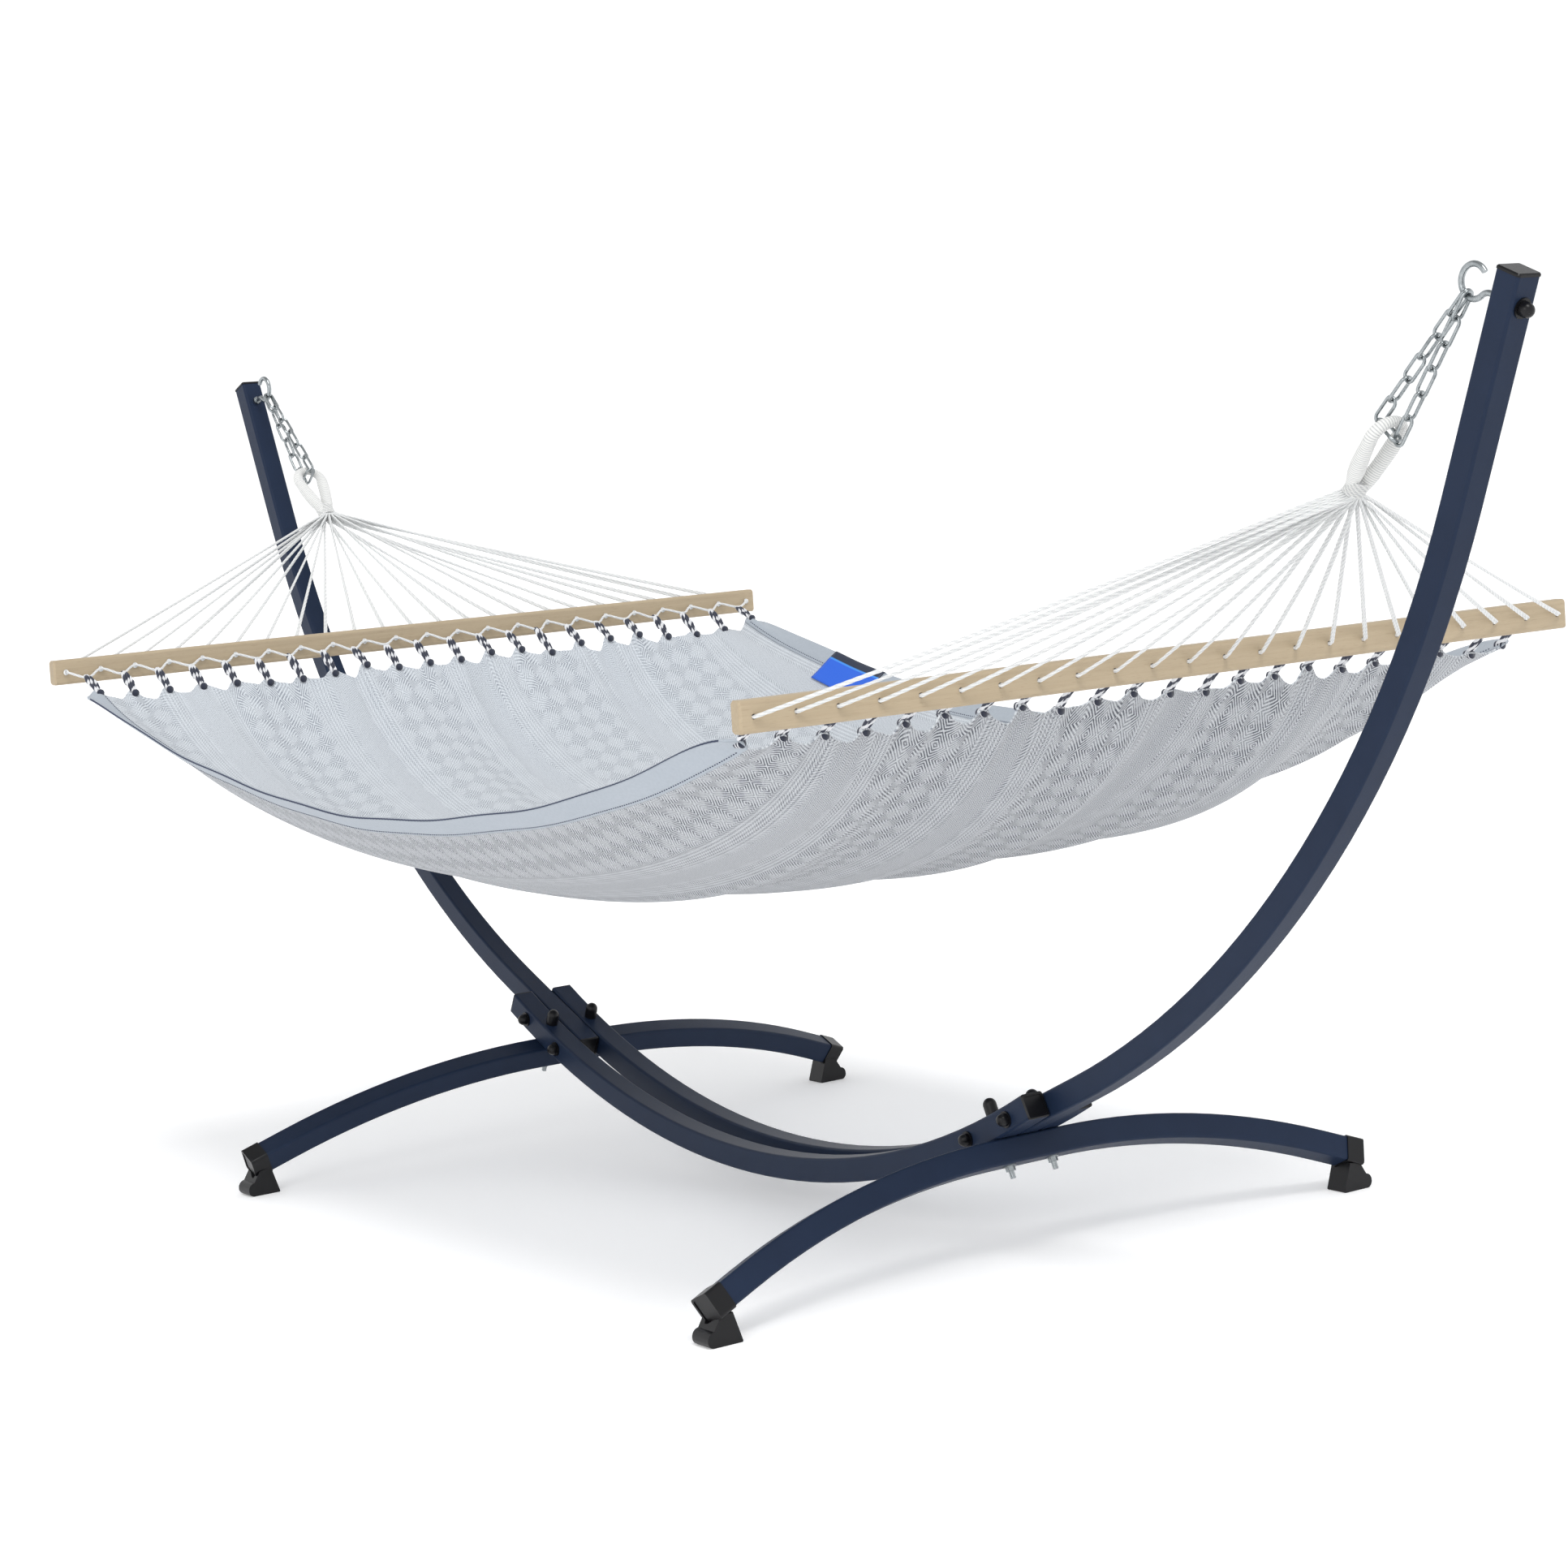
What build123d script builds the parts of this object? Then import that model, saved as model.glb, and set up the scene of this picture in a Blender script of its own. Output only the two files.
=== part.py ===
from build123d import *
import math
import os

os.makedirs("parts", exist_ok=True)

# Hammock on a curved steel stand. Millimetres, +Z up, long axis X, bed width Y.
# Origin: on the floor, under the middle of the stand.

# ---- driving dimensions -------------------------------------------------
TUBE = 38.0            # square tube, outside
WALL = 2.0
TUBE_R = 4.0           # outside corner radius
SIDE_GAP = 1.0         # paint and washer gap between an arm and each base tube

BASE_R = 1530.0        # base tubes, centreline radius
BASE_LOW = 58.0        # lowest centreline height of the base tubes
JOIN_A = 0.4214        # base arc angle at the junction with arm and leg, radians
BASE_OVER = 100.0      # base tube beyond the junction
ARM_OVER = 62.0        # arm inward of the junction
ARM_STRAIGHT_1 = 172.0 # straight lower end of an arm above the junction
ARM_R = 1525.0
ARM_ARC = 1160.0       # curved length of an arm
ARM_STRAIGHT_2 = 291.0 # straight top of an arm
SIDE_BOLT = 51.0       # side bolts, each side of the junction

LEG_FLAT = 60.0        # half of the flat middle of a cross leg
LEG_R = 1247.0
LEG_A = 22.0           # turn of each half of a cross leg, degrees
LEG_END = 70.0         # straight end in the foot
FOOT_LEN = 27.0        # sleeve of a foot along the leg
FOOT_WALL = 1.6

BOLT_D = 8.0
HOLE_D = 8.4

HOOK_D = 8.0           # rod of the hook bolt
HOOK_R = 21.0          # mean radius of the hook
HOOK_DROP = 38.0       # hook bolt below the top of the arm, along the tube
HOOK_REACH = 45.0      # hook centre from the tube's inner face
HOOK_UP = 5.0

WIRE = 4.6             # chain wire
LINK_R = 7.7           # link bend, centreline
LINK_A = 13.0          # half of a link's straight side
LINKS = 6              # links in each of a chain's two runs
PULL = (-0.671, -0.741)  # direction of the right chain from its hook, X and Z

EYE_R = 24.0           # eye loop, centreline radius round the chain
ROPE = 18.0            # wrapped rope of the eye loop
NECK = 302.0           # neck of the eye loop from the hook seat, along the pull

BAR_X = 1045.0         # spreader bar centre
BAR_Z = 872.0
BAR_L = 1440.0
BAR_T = 22.0           # thickness along X
BAR_H = 42.0
HOLES = 23
PITCH = 63.6
BAR_HOLE = 7.0

CORD = 3.0
BED_X = 979.0          # half length of the fabric, in plan
BED_Y = 690.0          # half width over the hems
HEM = 40.0
FABRIC = 5.0
BED_DROP = 46.0        # ends of the cloth below the bar centres
HEM_A = 38.0           # hems stand up at this angle
BED_SAG = 166.0        # side edges, middle below the ends
BELLY = 138.0          # middle of the bed below its side edges

MIRROR_X = Plane.YZ
MIRROR_Y = Plane.XZ


def save(name, shape):
    export_step(shape, f"parts/{name}.step")


def group(solids):
    out = []
    for s in solids:
        out.extend(s.solids())
    return Compound(children=out) if len(out) > 1 else out[0]


def walk(x, z, th, segs):
    """Edges in the XZ plane from lengths (straight) and (radius, angle) arcs."""
    edges = []
    for seg in segs:
        if len(seg) == 1:
            x2, z2 = x + seg[0] * math.cos(th), z + seg[0] * math.sin(th)
            edges.append(Edge.make_line((x, 0, z), (x2, 0, z2)))
        else:
            r, a = seg  # a > 0 turns towards +Z
            s = 1 if a > 0 else -1
            cx, cz = x - s * r * math.sin(th), z + s * r * math.cos(th)

            def at(t):
                return (cx + s * r * math.sin(t), 0, cz - s * r * math.cos(t))

            edges.append(Edge.make_three_point_arc(at(th), at(th + a / 2), at(th + a)))
            x2, _, z2 = at(th + a)
            th += a
        x, z = x2, z2
    return edges, (x, z, th)


def square_tube(x, z, th, segs, size=TUBE, wall=WALL):
    edges, end = walk(x, z, th, segs)
    path = Wire(edges)
    at = Plane(origin=(x, 0, z), x_dir=(0, 1, 0), z_dir=(math.cos(th), 0, math.sin(th)))
    outer = sweep(at * RectangleRounded(size, size, TUBE_R), path=path)
    inner = sweep(at * RectangleRounded(size - 2 * wall, size - 2 * wall, TUBE_R - wall), path=path)
    return outer - inner, end


def rod(p, direction, length, r):
    return Plane(origin=p, z_dir=direction) * Cylinder(
        r, length, align=(Align.CENTER, Align.CENTER, Align.MIN)
    )


def hexagon(p, direction, across, height, bore):
    pl = Plane(origin=p, z_dir=direction)
    blank = extrude(pl * RegularPolygon(across / 2, 6, major_radius=False), height)
    blank &= rod(p, direction, height, across / 2 * 1.12)
    return blank - rod(p, direction, height, bore)


def washer(p, direction, r, height, bore):
    return rod(p, direction, height, r) - rod(p, direction, height, bore)


def dome(p, direction, flange_r, flange_h, r, height, bore, depth):
    """Cap nut: a flange, a round body and a spherical end, with a blind bore."""
    z1, c = height - r, math.cos(math.pi / 4)
    pts = [(0, depth), (bore, depth), (bore, 0)]
    if flange_r:
        pts += [(flange_r, 0), (flange_r, flange_h), (r, flange_h)]
    else:
        pts += [(r, 0)]
    pts.append((r, z1))
    edges = [Edge.make_line((a[0], 0, a[1]), (b[0], 0, b[1])) for a, b in zip(pts, pts[1:])]
    edges.append(Edge.make_three_point_arc((r, 0, z1), (r * c, 0, z1 + r * c), (0, 0, height)))
    edges.append(Edge.make_line((0, 0, height), (0, 0, depth)))
    nut = revolve(Face(Wire(edges)), axis=Axis.Z, revolution_arc=360).solid()
    return Plane(origin=p, z_dir=direction) * nut


def off(p, *terms):
    out = Vector(*p)
    for v, k in terms:
        out += Vector(*v) * k
    return out


# ---- junction frame (right side) ----------------------------------------
jx = BASE_R * math.sin(JOIN_A)
jz = BASE_LOW + BASE_R * (1 - math.cos(JOIN_A))
T = (math.cos(JOIN_A), 0, math.sin(JOIN_A))     # along the tube, outward
N = (-math.sin(JOIN_A), 0, math.cos(JOIN_A))    # up, square to the tube
J = (jx, 0, jz)
BASE_Y = TUBE + SIDE_GAP                          # base tube centre from the middle

# ---- base tubes ----------------------------------------------------------
end_a = JOIN_A + BASE_OVER / BASE_R
sx, sz = -BASE_R * math.sin(end_a), BASE_LOW + BASE_R * (1 - math.cos(end_a))
base, _ = square_tube(sx, sz, -end_a, [(BASE_R, 2 * end_a)])
for s in (-1, 1):
    for k in (-SIDE_BOLT, SIDE_BOLT):
        p = off(J, (T, k), (N, k * k / 2 / BASE_R))
        p = Vector(s * p.X, 0, p.Z)
        base -= rod(off(p, ((0, 1, 0), -40)), (0, 1, 0), 80, HOLE_D / 2)
    base -= rod(off((s * jx, 0, jz), ((s * N[0], 0, N[2]), -40)), (s * N[0], 0, N[2]), 80, HOLE_D / 2)
save("base_tube_front", base.moved(Location((0, -BASE_Y, 0))).solid())
save("base_tube_rear", base.moved(Location((0, BASE_Y, 0))).solid())

# ---- arms ------------------------------------------------------------------
ax, az = jx - ARM_OVER * T[0], jz - ARM_OVER * T[2]
arm, (tx, tz, tth) = square_tube(
    ax, az, JOIN_A, [(ARM_OVER + ARM_STRAIGHT_1,), (ARM_R, ARM_ARC / ARM_R), (ARM_STRAIGHT_2,)]
)
for k in (-SIDE_BOLT, SIDE_BOLT):
    arm -= rod(off(J, (T, k), (N, k * k / 2 / BASE_R), ((0, 1, 0), -40)), (0, 1, 0), 80, HOLE_D / 2)
top_t = (math.cos(tth), 0, math.sin(tth))
top_n = (-math.sin(tth), 0, math.cos(tth))       # from the tube towards the hammock
B = off((tx, 0, tz), (top_t, -HOOK_DROP))
arm -= rod(off(B, (top_n, -40)), top_n, 80, HOLE_D / 2)
arm = arm.solid()
save("arm_right", arm)
save("arm_left", arm.mirror(MIRROR_X))
print("arm top", tx, tz, math.degrees(tth), "bolt", B)


# ---- end plugs and caps ------------------------------------------------------
def plug(p, out_dir, plate, size, depth=16.0, dish=0.0):
    pl = Plane(origin=p, x_dir=(0, 1, 0), z_dir=out_dir)
    head = extrude(pl * RectangleRounded(size, size, TUBE_R), plate)
    head = chamfer(head.faces().sort_by(Axis(tuple(p), out_dir))[-1].edges(), plate * 0.4)
    if dish:
        head -= extrude((pl * Pos(0, 0, plate - dish)) * RectangleRounded(size - 9, size - 9, 2.0), plate)
    inside = TUBE - 2 * WALL - 0.3
    stem = extrude(pl * RectangleRounded(inside, inside, 2.0), -depth)
    stem -= extrude(pl * RectangleRounded(inside - 4, inside - 4, 1.5), -depth)
    return (head + stem).solid()


cap = plug((tx, 0, tz), top_t, 4.5, TUBE + 1.6)
save("arm_top_cap_right", cap)
save("arm_top_cap_left", cap.mirror(MIRROR_X))
low = plug((ax, 0, az), (-T[0], 0, -T[2]), 3.5, TUBE, depth=6.0, dish=1.4)
save("arm_lower_plug_right", low)
save("arm_lower_plug_left", low.mirror(MIRROR_X))
ends = [
    plug((-sx, y, sz), (math.cos(end_a), 0, math.sin(end_a)), 3.5, TUBE, dish=1.4) for y in (-BASE_Y, BASE_Y)
]
save("base_end_plugs_right", group(ends))
save("base_end_plugs_left", group([e.mirror(MIRROR_X) for e in ends]))

# ---- cross legs ------------------------------------------------------------
# Drawn in its own XZ plane, then turned so that it spans Y and leans with the base tubes.
la = math.radians(LEG_A)
half_w = LEG_FLAT + LEG_R * math.sin(la) + LEG_END * math.cos(la)
drop = LEG_R * (1 - math.cos(la)) + LEG_END * math.sin(la)
leg, _ = square_tube(-half_w, -drop, la, [(LEG_END,), (LEG_R, -la), (2 * LEG_FLAT,), (LEG_R, -la), (LEG_END,)])
LEG_C = off(J, (N, -TUBE))
leg_frame = Plane(origin=LEG_C, x_dir=(0, 1, 0), z_dir=T)
# leg_frame: x = +Y, y = up along N, z = outward along the base tube
to_leg = Location(leg_frame)
leg = leg.moved(Location((0, 0, 0), (1, 0, 0), -90)).moved(to_leg)
if leg.bounding_box().max.Z > LEG_C.Z + 40:
    raise ValueError("leg is upside down")
for y in (-BASE_Y, BASE_Y):
    leg -= rod(off(LEG_C, ((0, 1, 0), y), (N, -30)), N, 60, HOLE_D / 2)
leg = leg.solid()
save("cross_leg_right", leg)
save("cross_leg_left", leg.mirror(MIRROR_X))

# ---- feet -------------------------------------------------------------------
E_ = off(LEG_C, ((0, 1, 0), half_w), (N, -drop))             # leg end, rear right
U = off((0, 0, 0), ((0, 1, 0), math.cos(la)), (N, -math.sin(la)))  # leg direction there
print("leg end", E_)


def foot():
    sec = Plane(origin=E_, x_dir=(T[0], 0, T[2]), z_dir=tuple(U))
    size = TUBE + 2 * FOOT_WALL + 0.4
    sleeve = extrude(sec * RectangleRounded(size, size, TUBE_R + 1), -FOOT_LEN)
    sleeve += extrude(sec * RectangleRounded(size, size, TUBE_R + 1), 3.0)
    # recessed panel in the closed end
    x0, y0 = E_.X, E_.Y
    side = Plane(origin=(x0 - 19.5, y0, 0), x_dir=(0, 1, 0), z_dir=(1, 0, 0))
    outline = Wire(
        [
            Edge.make_line((-39, 0), (6, 0)),
            Edge.make_three_point_arc((6, 0), (13.2, 3.4), (15.5, 11)),
            Edge.make_three_point_arc((15.5, 11), (12.6, 18.6), (5, 22.5)),
            Edge.make_line((5, 22.5), (-6, 40)),
            Edge.make_line((-6, 40), (-27, 44)),
            Edge.make_line((-27, 44), (-40.5, 3)),
            Edge.make_three_point_arc((-40.5, 3), (-40.3, 0.9), (-39, 0)),
        ]
    )
    block = extrude(side * Face(outline), 39.0)
    vert = [e for e in block.edges() if abs(e.tangent_at(0.5).X) < 0.2 and e.length > 3 and (e.center().Y > y0 + 5)]
    try:
        block = fillet(vert, 6.0)
    except Exception:
        print("foot nose left square")
    out = sleeve + block
    pocket = extrude(sec * RectangleRounded(TUBE + 0.4, TUBE + 0.4, TUBE_R), -(FOOT_LEN + 30))
    out -= pocket
    dish = extrude((sec * Pos(0, 0, 1.6)) * RectangleRounded(TUBE - 4, TUBE - 4, 3), 6)
    out -= dish
    # the flat sole
    out -= Pos(x0, y0, -50) * Box(300, 300, 100)
    parts_ = out.solids()
    return sorted(parts_, key=lambda q: q.volume)[-1]


rr = foot()
save("foot_right_rear", rr)
save("foot_right_front", rr.mirror(MIRROR_Y))
save("foot_left_rear", rr.mirror(MIRROR_X))
save("foot_left_front", rr.mirror(MIRROR_X).mirror(MIRROR_Y))

# ---- fasteners ---------------------------------------------------------------
OUT_Y = BASE_Y + TUBE / 2
side_b, side_d = [], []
for k in (-SIDE_BOLT, SIDE_BOLT):
    p = off(J, (T, k), (N, k * k / 2 / BASE_R))
    shank = rod(off(p, ((0, 1, 0), -(OUT_Y + 9))), (0, 1, 0), 2 * OUT_Y + 9, BOLT_D / 2)
    head = Plane(origin=off(p, ((0, 1, 0), OUT_Y)), z_dir=(0, 1, 0)) * scale(Sphere(8.5), (1, 1, 0.65))
    head &= rod(off(p, ((0, 1, 0), OUT_Y)), (0, 1, 0), 20, 12)
    side_b.append((shank + head).solid())
    side_d.append(
        dome(off(p, ((0, 1, 0), -OUT_Y)), (0, -1, 0), 12.0, 2.4, 9.2, 15.5, BOLT_D / 2 + 0.05, 9.2).solid()
    )
save("side_bolts_right", group(side_b))
save("side_bolts_left", group([s.mirror(MIRROR_X) for s in side_b]))
save("side_dome_nuts_right", group(side_d))
save("side_dome_nuts_left", group([s.mirror(MIRROR_X) for s in side_d]))

lb, lc, lw, ln = [], [], [], []
for y in (-BASE_Y, BASE_Y):
    top = off(J, ((0, 1, 0), y), (N, TUBE / 2 + 0.06))
    low_p = off(J, ((0, 1, 0), y), (N, -1.5 * TUBE))
    bolt = extrude(Plane(origin=top, z_dir=N) * RegularPolygon(6.5, 6, major_radius=False), 5.3)
    bolt += rod(off(top, (N, 0)), tuple(-c for c in N), 2 * TUBE + 19.0, BOLT_D / 2)
    lb.append(bolt.solid())
    cap_ = dome(top, N, 0, 0, 10.0, 26.0, 7.8, 6.0)
    lc.append(cap_.solid())
    lw.append(washer(low_p, tuple(-c for c in N), 10.0, 1.6, BOLT_D / 2 + 0.1).solid())
    ln.append(hexagon(off(low_p, (N, -1.6)), tuple(-c for c in N), 13.0, 6.5, BOLT_D / 2 + 0.05).solid())
for nm, gr in (("leg_bolts", lb), ("leg_bolt_caps", lc), ("leg_washers", lw), ("leg_nuts", ln)):
    save(nm + "_right", group(gr))
    save(nm + "_left", group([s.mirror(MIRROR_X) for s in gr]))

# ---- hook bolts ------------------------------------------------------------
# local plane: a along top_n from the inner face, b along top_t
face_in = off(B, (top_n, TUBE / 2))
face_out = off(B, (top_n, -TUBE / 2))
alpha = math.radians(55)
r1 = (HOOK_R * math.cos(alpha) - HOOK_UP) / (1 - math.cos(alpha))
a0 = HOOK_REACH - (HOOK_R + r1) * math.sin(alpha)


def ab(a, b):
    return off(face_in, (top_n, a), (top_t, b))


def on_hook(deg):
    t = math.radians(deg)
    return ab(HOOK_REACH + HOOK_R * math.cos(t), HOOK_UP + HOOK_R * math.sin(t))


th0 = 270 - math.degrees(alpha)
TIP = 128.0 + 360.0
mid1 = ab(a0 + r1 * math.sin(alpha / 2), -r1 * (1 - math.cos(alpha / 2)))
hook_path = Wire(
    [
        Edge.make_line(ab(-(TUBE + 12.5), 0), ab(a0, 0)),
        Edge.make_three_point_arc(ab(a0, 0), mid1, on_hook(th0)),
        Edge.make_three_point_arc(on_hook(th0), on_hook((th0 + TIP) / 2), on_hook(TIP)),
    ]
)
hook = sweep(
    Plane(origin=ab(-(TUBE + 12.5), 0), z_dir=tuple(top_n)) * Circle(HOOK_D / 2), path=hook_path
).solid()
print("hook reverse bend", r1, "volume ratio", hook.volume / (math.pi * 16 * hook_path.length))
H = ab(HOOK_REACH, HOOK_UP)
save("hook_right", hook)
save("hook_left", hook.mirror(MIRROR_X))
inner_nut = hexagon(face_in, tuple(top_n), 13.0, 6.5, HOOK_D / 2 + 0.05).solid()
outer_w = washer(face_out, tuple(Vector(*top_n) * -1), 13.0, 2.0, HOOK_D / 2 + 0.1).solid()
outer_d = dome(
    off(face_out, (top_n, -2.0)), tuple(Vector(*top_n) * -1), 0, 0, 9.6, 15.5, HOOK_D / 2 + 0.05, 11.0
).solid()
for nm, s in (("hook_inner_nut", inner_nut), ("hook_outer_washer", outer_w), ("hook_dome_nut", outer_d)):
    save(nm + "_right", s)
    save(nm + "_left", s.mirror(MIRROR_X))

# ---- chains ----------------------------------------------------------------
pd = math.hypot(*PULL)
D = (PULL[0] / pd, 0, PULL[1] / pd)          # along the pull
EE = (-D[2], 0, D[0])                         # square to it, in XZ
SEAT = off(H, (D, HOOK_R))                    # rod centre where the chain sits
PITCH_L = 2 * (LINK_A + LINK_R) - WIRE - 0.4


def make_link(c, along, normal):
    pl = Plane(origin=c, x_dir=along, z_dir=normal)
    a, r, w = LINK_A, LINK_R, WIRE / 2
    rings = []
    torus = Torus(r, w)
    right_half = Pos(a, 0, 0) * (torus & Pos(50, 0, 0) * Box(100, 100, 100))
    left_half = Pos(-a, 0, 0) * (torus & Pos(-50, 0, 0) * Box(100, 100, 100))
    s1 = Pos(0, r, 0) * Rot(0, 90, 0) * Cylinder(w, 2 * a)
    s2 = Pos(0, -r, 0) * Rot(0, 90, 0) * Cylinder(w, 2 * a)
    return (pl * (right_half + left_half + s1 + s2)).solid()


first = LINK_A + LINK_R - WIRE / 2 - HOOK_D / 2 - 0.7
bottom_d = first + (LINKS - 1) * PITCH_L + (LINK_A + LINK_R - WIRE - 0.4)
links = []
for s in (-1, 1):
    p_top = off(SEAT, (D, first), (EE, s * 2.9))
    p_bot = off(SEAT, (D, bottom_d), (EE, s * (LINK_A + LINK_R)))
    run = p_bot - p_top
    ud = run.normalized()
    un = Vector(0, 1, 0).cross(ud).normalized()
    step = run.length - (LINK_A + LINK_R - WIRE - 0.4)
    for k in range(LINKS):
        c = p_top + ud * (step * k / (LINKS - 1))
        normal = un if k % 2 == 0 else Vector(0, 1, 0)
        links.append(make_link(c, tuple(ud), tuple(normal)))
BOT = off(SEAT, (D, bottom_d))
links.append(make_link(BOT, tuple(EE), tuple(D)))
save("chain_right", group(links))
save("chain_left", group([k.mirror(MIRROR_X) for k in links]))
print("hook centre", H, "seat", SEAT, "bottom link", BOT)

# ---- eye loops ----------------------------------------------------------------
saddle = 14.5
EC = off(BOT, (D, EYE_R - saddle))            # centre of the loop's top arc
NK = off(SEAT, (D, NECK))
L_n = (NK - EC).length
spread = 4.0                                   # half distance of the limbs at the neck
# tangent from the arc to the neck point
beta = math.asin((EYE_R - spread) / L_n)       # tilt of each limb from the pull
eye_pl = Plane(origin=EC, x_dir=(0, 1, 0), z_dir=tuple(Vector(*D).cross(Vector(0, 1, 0)) * -1))
yd = eye_pl.y_dir
sgn = 1 if yd.dot(Vector(*D)) > 0 else -1     # local +y*sgn is along the pull


def eye_pt(u, v):
    return eye_pl.from_local_coords(Vector(u, v * sgn, 0))


def arc_pt(deg):
    t = math.radians(deg)
    return eye_pt(EYE_R * math.cos(t), -EYE_R * math.sin(t))


dbeta = math.degrees(beta)
neck_r = 20.0                                  # the wrapped neck starts this wide
back = (ROPE / 2 + 0.6 - spread) / math.tan(beta) - 1.0
v_end = L_n - back                             # limbs enter the neck here
u_end = spread + back * math.tan(beta)
eye_path = Wire(
    [
        Edge.make_line(eye_pt(-u_end, v_end), arc_pt(180 + dbeta)),
        Edge.make_three_point_arc(arc_pt(180 + dbeta), arc_pt(90), arc_pt(-dbeta)),
        Edge.make_line(arc_pt(-dbeta), eye_pt(u_end, v_end)),
    ]
)
eye = sweep(
    Plane(origin=eye_path.position_at(0), z_dir=tuple(eye_path.tangent_at(0))) * Circle(ROPE / 2),
    path=eye_path,
)
cone_len = back + 8.0 + 3.0
cone_at = off(EC, (D, v_end - 3.0))
neck = Plane(origin=cone_at, z_dir=D) * Cone(
    neck_r, 12.0, cone_len, align=(Align.CENTER, Align.CENTER, Align.MIN)
)
eye = (eye + neck).solid()
save("eye_loop_right", eye)
save("eye_loop_left", eye.mirror(MIRROR_X))
print("eye centre", EC, "neck", NK, "limb tilt", dbeta)

# ---- spreader bars -----------------------------------------------------------
bar = Pos(BAR_X, 0, BAR_Z) * Box(BAR_T, BAR_L, BAR_H)
bar = fillet(bar.edges().filter_by(Axis.Y), 5.0)
bar = chamfer(bar.faces().sort_by(Axis.Y)[-1].edges() + bar.faces().sort_by(Axis.Y)[0].edges(), 3.0)
hole_y = [(i - (HOLES - 1) / 2) * PITCH for i in range(HOLES)]
for y in hole_y:
    bar -= rod((BAR_X - 20, y, BAR_Z), (1, 0, 0), 40, BAR_HOLE / 2)
bar = bar.solid()
save("spreader_bar_right", bar)
save("spreader_bar_left", bar.mirror(MIRROR_X))

# ---- clew strings ------------------------------------------------------------
# From a packed bundle at the eye's neck, out in a fan, and through the bar's holes.
START = off(NK, (D, 8.0))
xo, xi = BAR_X + BAR_T / 2, BAR_X - BAR_T / 2
strings = []
for i, y in enumerate(hole_y):
    col, row = (i + 1) // 5 - 2, (i + 1) % 5 - 2
    p0 = off(START, ((0, 1, 0), col * 3.4), (EE, row * 3.4))
    p1 = Vector(xo + 2.2, y, BAR_Z)
    p2 = Vector(xi - 4.0, y, BAR_Z)
    run_ = FilletPolyline(tuple(p0), tuple(p1), tuple(p2), radius=3.0)
    w = run_.wire() if hasattr(run_, "wire") else Wire(run_.edges())
    s = sweep(Plane(origin=p0, z_dir=tuple((p1 - p0).normalized())) * Circle(CORD / 2), path=w)
    strings.append(s.solid())
    if i % 6 == 0:
        print("string", i, "length", round(w.length, 1), "ratio", round(s.volume / (math.pi * CORD**2 / 4 * w.length), 4))
save("clew_strings_right", group(strings))
save("clew_strings_left", group([s.mirror(MIRROR_X) for s in strings]))

# ---- lacing between bar and fabric ---------------------------------------------
LACE_R = 4.0
TIP_X, TIP_Z = BED_X + 32.0, BAR_Z - 10.0      # where the lacing passes each loop
BED_TOP = BAR_Z - BED_DROP
LOOP_A = math.atan2(TIP_Z - BED_TOP, TIP_X - BED_X)
LOOP_L = math.hypot(TIP_Z - BED_TOP, TIP_X - BED_X) + 4.0   # cloth's edge to loop tip
pts = []
for i, y in enumerate(hole_y):
    pts.append((xi - 5.5, y, BAR_Z))
    if i < HOLES - 1:
        pts.append((TIP_X, y + PITCH / 2, TIP_Z))
lace_w = FilletPolyline(*pts, radius=LACE_R).wire()
p0, p1 = Vector(*pts[0]), Vector(*pts[1])
lace = sweep(Plane(origin=p0, z_dir=tuple((p1 - p0).normalized())) * Circle(CORD / 2), path=lace_w).solid()
print("lacing length", lace_w.length, "ratio", lace.volume / (math.pi * CORD**2 / 4 * lace_w.length))
save("lacing_cord_right", lace)
save("lacing_cord_left", lace.mirror(MIRROR_X))

loops = []
for i in range(HOLES - 1):
    y = hole_y[i] + PITCH / 2
    b = Pos(LOOP_L / 2, 0, 0) * Box(LOOP_L, 11.0, 5.0)
    b = fillet(b.edges().filter_by(Axis.Z).group_by(Axis.X)[-1], 2.0)
    b = Pos(BED_X, y, BED_TOP) * Rot(0, -math.degrees(LOOP_A), 0) * b
    b -= rod((TIP_X, y - 10, TIP_Z), (0, 1, 0), 20, CORD / 2 + 0.2)
    loops.append(b.solid())
save("lacing_loops_right", group(loops))
save("lacing_loops_left", group([b.mirror(MIRROR_X) for b in loops]))

# ---- bed ---------------------------------------------------------------------
SAG_R = (BED_X**2 + BED_SAG**2) / (2 * BED_SAG)
HEM_Y = HEM * math.cos(math.radians(HEM_A))
HEM_Z = HEM * math.sin(math.radians(HEM_A))


def edge_z(x):
    return BED_TOP - BED_SAG + SAG_R - math.sqrt(SAG_R**2 - x * x) + HEM_Z


def belly(x):
    return 2.0 + BELLY * (1 - (abs(x) / BED_X) ** 6)


in_y = BED_Y - HEM_Y
steps = (-1, -0.85, -0.6, -0.3, 0, 0.3, 0.6, 0.85, 1)
sections = []
for x in (-BED_X, -900, -780, -560, -280, 0, 280, 560, 780, 900, BED_X):
    z, b, h = edge_z(x) - HEM_Z, belly(x), FABRIC / 2
    sections.append(
        Wire(
            [
                Edge.make_spline([(x, q * in_y, z - h - b * (1 - q**4)) for q in steps]),
                Edge.make_line((x, in_y, z - h), (x, in_y, z + h)),
                Edge.make_spline([(x, -q * in_y, z + h - b * (1 - q**4)) for q in steps]),
                Edge.make_line((x, -in_y, z + h), (x, -in_y, z - h)),
            ]
        )
    )
bed = Solid.make_loft(sections)
print("bed valid", bed.is_valid, "volume", bed.volume)
save("fabric_bed", bed)

hem_a = math.asin(BED_X / SAG_R)
hc = BED_TOP - BED_SAG + SAG_R


def arc_at(r, a):
    return (r * math.sin(a), in_y, hc - r * math.cos(a))


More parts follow.
